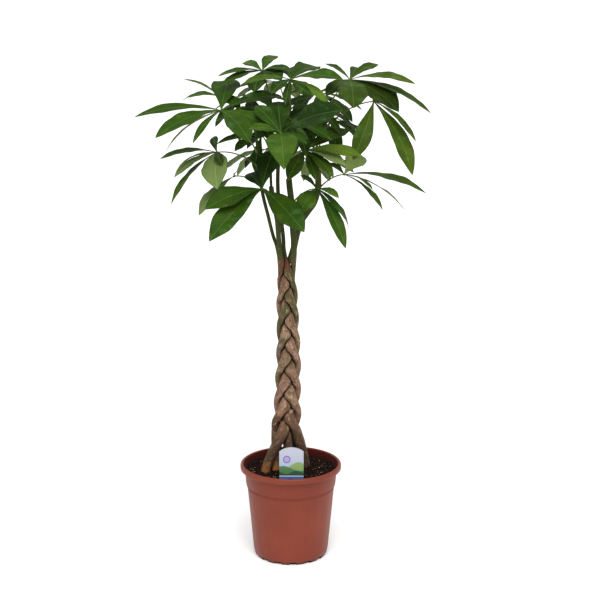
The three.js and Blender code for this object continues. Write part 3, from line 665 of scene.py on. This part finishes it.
def make_label():
    half, stake, shoulder = LABEL.width / 2, LABEL.stake / 2, LABEL.shoulder
    rows = [(-LABEL.depth, stake), (-0.01, stake)]
    rows += [(LABEL.slant * s, mix(stake, half, s)) for s in (0.02, 0.5, 0.96, 1)]
    rows += [(v, half) for v in np.linspace(LABEL.slant + 4, shoulder, 12)]
    for t in (0.12, 0.25, 0.4, 0.55, 0.7, 0.82, 0.92, 0.985):
        rise = shoulder * (1 - t) ** 2 + LABEL.height * (1 - (1 - t) ** 2)
        rows.append((rise, half * ((1 - t) ** 2 + 0.55 * 2 * t * (1 - t))))
    lean = radians(LABEL.lean)
    upright = np.array([0, sin(lean), cos(lean)])
    outward = np.array([0, -cos(lean), sin(lean)])
    foot = np.array([LABEL.x, LABEL.y, SOIL_LEVEL - LABEL.sunk])
    sides = np.array([-1, -0.985, -0.8, -0.6, -0.4, -0.2, 0, 0.2, 0.4, 0.6, 0.8, 0.985, 1])
    thick = [LABEL.edge if abs(u) == 1 else LABEL.thick for u in sides]
    rings, spreads = [], []
    for rise, reach in rows:
        curl = LABEL.curl * max(0, rise / LABEL.height) ** 1.5
        front = [foot + RIGHT * u * reach + upright * rise + outward * (t / 2 - curl * (1 - u * u))
                 for u, t in zip(sides, thick)]
        back = [p - outward * t for p, t in zip(front, thick)]
        rings.append(np.array(front + back[::-1]))
        spreads.append(np.array([[u * reach, rise] for u in (*sides, *sides[::-1])]))
    shape = Shape()
    shape.add(np.concatenate(rings), tube_faces(len(rings), 2 * len(sides)), 0, np.concatenate(spreads))
    shape.piece("printed_label", "label_card", [label_print()], ["plant_label"], sharp=60)


# What is printed on the label: the sun's middle, the radii and inks of its discs, the turns, height, swing
# and ink of each hill, and the tops and inks of the bands below them.
PRINT_SUN = (0.011, 0.058)
PRINT_DISCS = [(0.0086, 0.0092, (112, 98, 156)), (0.0062, 0.0066, (158, 146, 190))]
PRINT_HILLS = [
    (95, 0.045, 0.007, (124, 150, 88)), (-80, 0.037, 0.006, (74, 112, 66)), (130, 0.028, 0.004, (42, 76, 58)),
]
PRINT_BANDS = [(0.0195, (196, 200, 208)), (0.0175, (60, 92, 156))]


def label_print():
    """A plain design: hills, a round sun and bands on pale card."""
    card = Finish("label_card", 0.35, 0.4)
    across, rise = card.parts(card.add("UVMap", {}, uv_map="spread").outputs[0])[:2]
    card.colour = card.ramp(card.noise(500, 2), (0.3, 166, 168, 182), (0.7, 176, 178, 192))
    card.tint(rise, 0.03, 0.07, (0.6, 0), (140, 176, 206))
    middle = {0: card.sum("ADD", across, PRINT_SUN[0]), 1: card.sum("SUBTRACT", rise, PRINT_SUN[1])}
    offset = card.add("CombineXYZ", middle).outputs[0]
    away = card.add("VectorMath", {0: offset}, operation="LENGTH").outputs[1]
    for inner, outer, ink in PRINT_DISCS:
        card.tint(away, inner, outer, (1, 0), ink)
    for turn, height, swing, ink in PRINT_HILLS:
        crest = card.sum("MULTIPLY_ADD", card.sum("SINE", card.times(across, turn)), swing, height)
        card.tint(card.sum("SUBTRACT", crest, rise), 0, 0.0006, (0, 1), ink)
    for height, ink in PRINT_BANDS:
        card.tint(rise, height, height + 0.0006, (1, 0), ink)
    return card.done()


make_label()


# Stems

def plait_point(turn, z):
    t = 2 * pi * ((PLAIT.start - z) / PLAIT.pitch + turn / len(STEMS))
    right = along(AXIS, z) + along(WIDTH, z) * (sin(t) - PLAIT.straight * sin(3 * t))
    away = -along(DEPTH, z) * sin(2 * t + radians(PLAIT.lead))
    return [right, away, z]


def smooth_line(points, count):
    """Points along a centripetal curve through the given ones."""
    points = np.array(points, dtype=float)
    padded = np.vstack([2 * points[0] - points[1], points, 2 * points[-1] - points[-2]])
    steps = np.linalg.norm(np.diff(padded, axis=0), axis=1) ** 0.5
    place = np.linspace(0, len(points) - 1, count + 1)
    start = np.minimum(place.astype(int), len(points) - 2)
    t = (place - start)[:, None]
    a, b, c, d = (padded[start + k] for k in range(4))
    before, here, after = (steps[start + k][:, None] for k in range(3))
    first = ((b - a) / before - (c - a) / (before + here) + (c - b) / here) * here
    last = ((c - b) / here - (d - b) / (here + after) + (d - c) / after) * here
    return b + first * t + (3 * (c - b) - 2 * first - last) * t ** 2 + (2 * (b - c) + first + last) * t ** 3


def stem_line(stem):
    points = [[*stem.foot, SOIL_LEVEL + z] for z in FOOT_HEIGHTS]
    points += [plait_point(stem.turn, z) for z in range(PLAIT.bottom, PLAIT.top + 1, PLAIT.step)]
    return smooth_line(points + stem.way, LINE_POINTS)


lines = [stem_line(stem) for stem in STEMS]


def line_point(line, z):
    return np.array([*(np.interp(z, line[:, 2], line[:, k]) for k in (0, 1)), z])


def stem_radius(own, z):
    stem = STEMS[own]
    share = min(max((z - PLAIT.top) / TAPER, 0), 1)
    radius = mix(along(GIRTH, z), stem.radius, share)
    end = min(max((z - stem.cut + 1) / 2, 0), 1)
    return mix(radius, SHOOT_RADIUS, end)


def stem_section(own, z, rays):
    """A stem's middle, its reach along level rays, and what the reach would be without neighbours."""
    line = lines[own]
    centre = line_point(line, z)
    run = unit(line_point(line, z + 4) - line_point(line, z - 4))
    full = stem_radius(own, z) / np.sqrt(np.maximum(SLANT_LIMIT, 1 - (rays @ run) ** 2))
    borders = np.full(len(rays), FAR)
    for level in (z - PRESSED_SPAN, z, z + PRESSED_SPAN):
        here = line_point(line, level)
        for other in lines:
            if other is line or level >= other[-1, 2]:
                continue
            there = line_point(other, level)
            to = there - here
            half = np.linalg.norm(to) / 2 - PRESSED_GAP
            most = max(0, half - PRESSED_LEAST)
            border = half + min(max(FAVOUR * (abs(here[1]) - abs(there[1])), -most), most)
            to = unit(to)
            free = border - np.dot((centre - here) * [1, 1, 0], to)
            facing = rays @ to
            limit = np.where(facing > 0.01, np.maximum(free / np.maximum(facing, 0.01), 0.5), FAR)
            borders = np.minimum(borders, limit)
    return centre, (full ** -ROUNDED + borders ** -ROUNDED) ** (-1 / ROUNDED), full


def section_heights(line, cut):
    """Heights of a stem's sections: closer in the plait, and closest at its cut top and at its tip."""
    heights = list(np.arange(line[0, 2] + 0.2, PLAIT.top + ROWS.change, ROWS.low))
    heights += list(np.arange(heights[-1] + 4, line[-1, 2] - 5, ROWS.high))
    heights = [z for z in heights if abs(z - cut) > 3]
    return sorted(heights + [cut + d for d in CUT_ROWS] + [line[-1, 2] - d for d in TIP_ROWS])


def lump(p, across, up):
    return noise.noise(Vector((p[0] / across, p[1] / across, p[2] / up)))


def make_stem(own):
    line = lines[own]
    rays = ring(STEM_SIDES, RIGHT, AWAY)
    rings, creases, unwound = [], [], []
    travelled = 0
    last = line_point(line, line[0, 2] + 0.2)
    for z in section_heights(line, STEMS[own].cut):
        centre, reach, full = stem_section(own, z, rays)
        travelled += np.linalg.norm(centre - last)
        last = centre
        radius = stem_radius(own, z)
        straight = radius * rays + UP * travelled
        straight[:, :2] += BARK_APART * own
        relief = np.array([0.55 * lump(p, *LUMPS.coarse) + 0.3 * lump(p, *LUMPS.fine) for p in straight])
        tip = min(1, sqrt(max(line[-1, 2] - z, 0.0) / 4 + 0.02))
        creases.append(1 - reach / full)
        reach = (reach - LUMPS.sunk + LUMPS.depth * relief * (radius / LUMPS.girth)) * tip
        rings.append(centre + rays * reach[:, None])
        unwound.append(straight * MM)
    shape = Shape()
    faces = tube_faces(len(rings), STEM_SIDES)
    shape.add(np.concatenate(rings), faces, crease=np.concatenate(creases), unwound=np.concatenate(unwound))
    shape.piece(f"stem_{own + 1}_bark", "bark", [bark(own)], [f"stem_{own + 1}"], sharp=60)


PALETTE = dict(
    pink=(142, 108, 90), beige=(142, 118, 92), tan=(136, 110, 80), brown=(100, 72, 54),
    dark=(76, 54, 40), grey=(112, 96, 86), olive=(82, 80, 46), green=(72, 78, 40),
    moss=(54, 60, 28), orange=(160, 104, 54), rust=(136, 92, 64), red=(112, 68, 48),
)
BARK_SPAN = (0.2, 1.1)  # in metres, the heights that the colours are spread over
# Colours of each stem from given heights in millimetres, the lowest first.
BARK = [
    "200 dark, 262 brown, 405 brown, 415 tan, 440 olive, 470 beige, 520 brown, 532 olive, 548 beige, "
    "562 pink, 570 grey, 578 green, 586 green, 593 beige, 602 olive, 660 olive, 700 brown, 760 moss",
    "200 grey, 300 brown, 340 rust, 360 pink, 450 pink, 500 olive, 520 beige, 600 pink, 650 brown, 722 red, "
    "728 green, 890 moss, 1090 green",
    "200 dark, 320 brown, 335 rust, 350 pink, 425 beige, 480 grey, 520 grey, 532 green, 544 beige, "
    "560 pink, 570 beige, 580 green, 590 beige, 600 olive, 640 green, 695 olive, 705 red, 728 red, "
    "734 green",
    "222 orange, 240 brown, 300 brown, 380 rust, 400 pink, 460 pink, 478 olive, 545 green, 630 green, "
    "700 olive, 800 moss, 905 moss, 1085 green",
    "222 orange, 240 brown, 335 dark, 343 dark, 346 rust, 375 pink, 690 pink, 720 olive, 850 moss, "
    "1050 olive",
]


def bark(own):
    look = Finish(f"bark_{own + 1}", 0.8, 0.2)
    crease = look.attribute("crease")
    height = look.parts(look.place)[2]
    uneven = look.between(look.noise(34, 2, shift=18), 0.4, 0.6, (0.35, 0.95))
    look.place = look.attribute("unwound", "Vector")
    patches = look.noise(75, 4, 0.6, 3)
    stain = look.noise(85, 4, 0.6, 12, (1, 1, 0.7))
    pale = look.noise(120, 4, 0.65, 15, (1, 1, 0.45))
    grain = look.noise(520, 4, 0.7, 6, (1, 1, 0.16))
    flakes = look.noise(300, 4, 0.7, 8, (1, 1, 0.5))
    rings = look.noise(60, 3, 0.6, 1, (0.5, 0.5, 5))
    low_down = look.between(height, 0.66, 0.76, (1, 0.25))

    low, high = BARK_SPAN
    shifted = look.sum("MULTIPLY_ADD", look.noise(45, 4, 0.6), 0.05, height)
    share = look.add("MapRange", {"Value": shifted, "From Min": low + 0.025, "From Max": high + 0.025})
    stops = [((int(z) * MM - low) / (high - low), *PALETTE[tone])
             for z, tone in (stop.split() for stop in BARK[own].split(", "))]
    look.colour = look.ramp(share.outputs[0], *stops)
    look.tint(patches, 0.5, 0.62, (0, 0.65), PALETTE["green"])
    look.tint(stain, 0.49, 0.6, (0, 0.7), PALETTE["brown"], low_down)
    look.tint(pale, 0.53, 0.66, (0, 0.6), (186, 156, 128), low_down)
    look.tint(grain, 0.36, 0.58, (0.6, 0), (62, 44, 30))
    look.tint(flakes, 0.6, 0.68, (0, 0.75), (198, 172, 144), low_down)
    look.tint(rings, 0.6, 0.66, (0, 0.6), (58, 38, 26))
    # Painted shade in the creases where stems press together: brown at their edges, unevenly near-black where
    # deepest.
    look.tint(crease, 0.05, 0.3, (0, 0.5), (76, 44, 24))
    look.tint(crease, 0.3, 0.7, (0, 1), (24, 12, 6), uneven)
    look.tint(height, 0.215, 0.24, (0, 1), (48, 34, 26), look.between(height, 0.27, 0.33, (0.4, 0)))
    look.tint(height, 0.7, 0.76, (0, 0.6), (46, 60, 16))
    normal = look.bump(grain, 0.0008, 0.6)
    normal = look.bump(flakes, 0.001, 0.5, normal)
    return look.done(look.bump(rings, 0.0016, 0.5, normal))


for own in range(len(STEMS)):
    make_stem(own)


# Leaves

def face_of(tilt, heading):
    toward = turned(RIGHT, UP, heading)
    return UP * cos(radians(tilt)) + toward * sin(radians(tilt))


def leaflets_of(leaf, seed):
    """Leaflets of a leaf as (reach, roll, width), from its table or from its fan."""
    found = []
    for row in leaf.leaflets:
        right, rise, length, width, roll = row + [1, 0][len(row) - 3:]
        away = -copysign(sqrt(max(0, length ** 2 - right ** 2 - rise ** 2)), length)
        found.append((np.array([right, away, rise]), roll, width))
    if found:
        return found
    draw = seeded(seed)
    count, length, droop = leaf.fan
    face = face_of(*leaf.face)
    first = unit(-UP + face * face[2])
    for i in range(count):
        turn = (i - (count - 1) / 2) * FANNED.spread / count + mix(*FANNED.turn, draw())
        size = length * (1 - FANNED.shorter * (turn / 180) ** 2) * mix(*FANNED.size, draw())
        ahead = turned(first, face, turn)
        ahead[2] -= sin(radians(droop)) * mix(*FANNED.droop, draw())
        roll = mix(*FANNED.roll, draw())
        found.append((unit(ahead) * size, roll, mix(*FANNED.width, draw())))
    return found


def axes(reach, face, roll):
    """The directions across and square to a leaflet's blade."""
    ahead = unit(reach)
    top = turned(unit(face - ahead * np.dot(face, ahead)), ahead, roll)
    return np.cross(top, ahead), top


def as_placed(tree, hub, reach, face, roll):
    """A leaflet's reach as its solid has it: one corner of its tip is a corner of the solid."""
    for share, lift, swing in product(SHORTENINGS, BENDS, BENDS):
        placed = turned(turned(reach, square_to(reach), -lift), UP, swing) * share
        across, top = axes(placed, face, roll)
        corner = hub + placed + (across + top * BLADE.fold) * BLADE.tip_half
        if tree.find(corner * MM)[2] < TIP_MATCH * MM:
            return placed
    return None


def bezier(curve, share):
    root, middle, hub = curve
    return root * (1 - share) ** 2 + middle * 2 * share * (1 - share) + hub * share ** 2


def along_and_aside(curve, share):
    """The run of a stalk's curve, and a level way square to it."""
    root, middle, hub = curve
    ahead = unit((middle - root) * 2 * (1 - share) + (hub - middle) * 2 * share)
    return ahead, square_to(ahead)


def stalk_curve(tree, root, hub):
    """A stalk's curve, with the bow that its solid has: two of its rings are nearest to the solid's."""
    span = hub - root
    found = []
    for bow in BOWS:
        middle = (root + hub) / 2 + UP * STALK.lift * np.linalg.norm(span) + square_to(span) * bow
        curve = (root, middle, hub)
        off = 0
        for step in (2, 3):
            share = step / STALK.solid_steps
            out = along_and_aside(curve, share)[1] * mix(STALK.foot, STALK.radius, share)
            off += tree.find((bezier(curve, share) + out) * MM)[2]
        found.append((off, bow, curve))
    return min(found)[2]


def add_leaflet(shape, hub, reach, face, roll, width, draw, rise, turned_over, **looks):
    length = np.linalg.norm(reach)
    across, top = axes(reach, face, roll)
    s = SHARES[:, None]
    side = SIDES[None, :]
    swell = np.maximum(np.sin(np.pi * s ** rise), 0) ** BLADE.fall
    half = mix(BLADE.root_half, BLADE.tip_half, s) + swell * BLADE.widest * length * width / 2
    wave = np.sin(2 * np.pi * (s * mix(1.5, 2.5, draw()) + draw()) + side * mix(0.5, 1.5, draw()))
    flutter = np.sin(2 * np.pi * (s * mix(4, 6, draw()) + draw()) * np.sign(side + 0.001))
    lift = BLADE.arch * length * 4 * s * (1 - s)
    lift = lift + BLADE.fold * half * (1.5 * abs(side) - 0.5 * side ** 2)
    lift = lift + BLADE.wave * half * wave * side ** 2 + BLADE.flutter * half * flutter * side ** 4
    sway = BLADE.sway * length * np.sin(np.pi * s) * mix(-1, 1, draw())
    middle = hub + reach * s[..., None] + top * lift[..., None] + across * (side * half + sway)[..., None]
    ridge = np.exp(-(side * half / BLADE.rib) ** 2) * (1 - 0.75 * s)
    upper = middle + top * (BLADE.half_thick - BLADE.groove * ridge)[..., None]
    lower = middle - top * (BLADE.half_thick + BLADE.keel * ridge)[..., None]

    rows, columns = len(SHARES), len(SIDES)
    ids = np.arange(rows * columns).reshape(rows, columns)
    cells = np.stack([ids[:-1, :-1], ids[1:, :-1], ids[1:, 1:], ids[:-1, 1:]], axis=-1).reshape(-1, 4)
    edge = [*ids[0, :], *ids[1:, -1], *ids[-1, -2::-1], *ids[-2:0:-1, 0]]
    faces = cells.tolist() + (cells[:, ::-1] + ids.size).tolist()
    faces += [[p, q, q + ids.size, p + ids.size] for p, q in zip(edge, edge[1:] + edge[:1])]
    front, back = (1, 0) if turned_over else (0, 1)
    slots = [front] * len(cells) + [back] * (len(cells) + len(edge))
    spread = np.stack([side * half, s * length * np.ones_like(side)], axis=-1).reshape(-1, 2)
    points = np.stack([upper, lower]).reshape(-1, 3)
    margin = np.tile(abs(SIDES), 2 * rows)
    shape.add(points, faces, slots, np.tile(spread, (2, 1)), margin=margin, **looks)


def add_tube(shape, rings, tone):
    """A stalk or a knob, in the stalk's material."""
    faces = tube_faces(len(rings), len(rings[0]))
    shape.add(np.concatenate(rings), faces, 2, margin=0.0, tone=tone, olive=0.0)


def add_stalk(shape, curve, start, tone):
    """A leaf's stalk, from a share of its curve on."""
    length = np.linalg.norm(curve[2] - curve[0])
    rings = []
    for share in np.linspace(start, 1, STALK.steps):
        ahead, aside = along_and_aside(curve, share)
        radius = mix(STALK.foot, STALK.radius, share) * STALK.slimmer
        radius += STALK.flare * exp(-(share - start) * length / STALK.flare_length)
        rings.append(bezier(curve, share) + radius * ring(STALK.sides, aside, np.cross(ahead, aside)))
    add_tube(shape, rings, tone)


def add_knob(shape, hub, face, tone):
    """The swelling where a leaf's leaflets meet."""
    side = unit(np.cross(face, [1.0, 0.3, 0.2]))
    out = KNOB.radius * ring(KNOB.sides, side, np.cross(face, side))
    angles = np.radians(np.linspace(-KNOB.end, KNOB.end, KNOB.steps))
    rings = [hub + cos(a) * out + KNOB.half_height * sin(a) * face for a in angles]
    add_tube(shape, rings, tone)


def vein_parts(look, width):
    """Shares of the midrib, the side veins and the swelling between them, from a leaflet's UV."""
    right, ahead = look.parts(look.add("UVMap", {}, uv_map="spread").outputs[0])[:2]
    across = look.sum("ABSOLUTE", right)
    wavy = look.sum("MULTIPLY_ADD", look.noise(60, 4), 0.008, ahead)
    slanted = look.sum("MULTIPLY_ADD", across, -0.8, wavy)
    phase = look.sum("PINGPONG", look.times(slanted, 105), 0.5)
    rib = look.between(across, width / 3, width, (1, 0))
    return rib, look.between(phase, 0.0, 0.12, (1, 0)), look.between(phase, 0.0, 0.5)


def upper_side():
    look = Finish("leaf_upper_side", 0.5, 0.06)
    rib, vein, swelling = vein_parts(look, 0.001)
    patches = look.noise(22, 4, 0.6, 4)
    turning = look.noise(16, 3, 0.6, 7)
    sheen = look.noise(28, 3, 0.6, 11, (1, 1, 1.6))
    tone = look.sum("ADD", look.attribute("tone"), look.between(patches, 0.3, 0.7, (-0.12, 0.14)))
    green = look.ramp(tone, (0, 22, 44, 8), (0.5, 44, 75, 11), (1, 84, 114, 30))
    olive = look.ramp(tone, (0, 32, 44, 9), (0.5, 62, 80, 13), (1, 98, 114, 36))
    share = look.sum("ADD", look.attribute("olive"), look.between(turning, 0.35, 0.7, (-0.3, 0.3)))
    look.colour = look.blend(share, green, olive)
    look.tint(sheen, 0.52, 0.72, (0, 0.3), (92, 128, 70))
    look.coat(swelling, (24, 50, 10), 0.05)
    look.coat(vein, (110, 140, 62), 0.07)
    look.coat(rib, (124, 150, 74), 0.25)
    look.tint(look.attribute("margin"), 0.88, 1, (0, 0.55), (22, 34, 10))
    return look.done(look.bump(swelling, 0.0005, 0.18))


def under_side():
    look = Finish("leaf_underside", 0.6, 0.1)
    rib, vein, swelling = vein_parts(look, 0.0015)
    look.colour = look.ramp(look.attribute("tone"), (0, 68, 84, 46), (1, 134, 156, 84))
    look.tint(look.noise(30), 0.4, 0.7, (0, 0.3), (80, 98, 52))
    look.coat(vein, (124, 140, 92), 0.2)
    look.coat(rib, (140, 156, 106), 0.4)
    look.tint(look.attribute("margin"), 0.88, 1, (0, 0.5), (46, 58, 30))
    return look.done(look.bump(look.sum("SUBTRACT", 1, swelling), 0.0005, 0.4))


def stalk_skin():
    look = Finish("leaf_stalk", 0.5, 0.15)
    specks = look.noise(400, shift=2)
    look.colour = look.ramp(look.noise(40), (0.35, 70, 78, 36), (0.65, 96, 108, 48))
    look.tint(specks, 0.55, 0.75, (0, 0.4), (82, 60, 34))
    return look.done(look.bump(specks, 0.0003, 0.4))


def make_leaf(number, name, leaf, materials):
    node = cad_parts[name]
    tree = KDTree(len(node.data.vertices))
    for i, vertex in enumerate(node.data.vertices):
        tree.insert(vertex.co, i)
    tree.balance()
    hub = np.array(leaf.hub, dtype=float)
    face = face_of(*leaf.face)
    draw = seeded(LEAF_SEED + number)
    own, height = leaf.start
    root = line_point(lines[own], height)
    curve = stalk_curve(tree, root, hub)
    start = max(stem_radius(own, height) - 1, 1) / np.linalg.norm(curve[1] - root) / 2
    shape = Shape()
    add_stalk(shape, curve, start, draw())
    add_knob(shape, hub, face, draw())
    for place, (reach, roll, width) in enumerate(leaflets_of(leaf, FAN_SEED + number)):
        tone = leaf.tones[place] if leaf.tones else LIGHTEST_DRAWN * draw()
        reach = as_placed(tree, hub, reach, face, roll)
        if reach is None:
            continue
        rise = leaf.rises.get(place, BLADE.rise)
        looks = {"tone": tone % 1, "olive": leaf.olive}
        add_leaflet(shape, hub, reach, face, roll, width * BLADE.broader, draw, rise, tone > 1, **looks)
    shape.piece(name + "_foliage", "leaf_green", materials, [name])


leaf_materials = [upper_side(), under_side(), stalk_skin()]
for number, (name, leaf) in enumerate(LEAVES.items()):
    make_leaf(number, "leaf_" + name, leaf, leaf_materials)
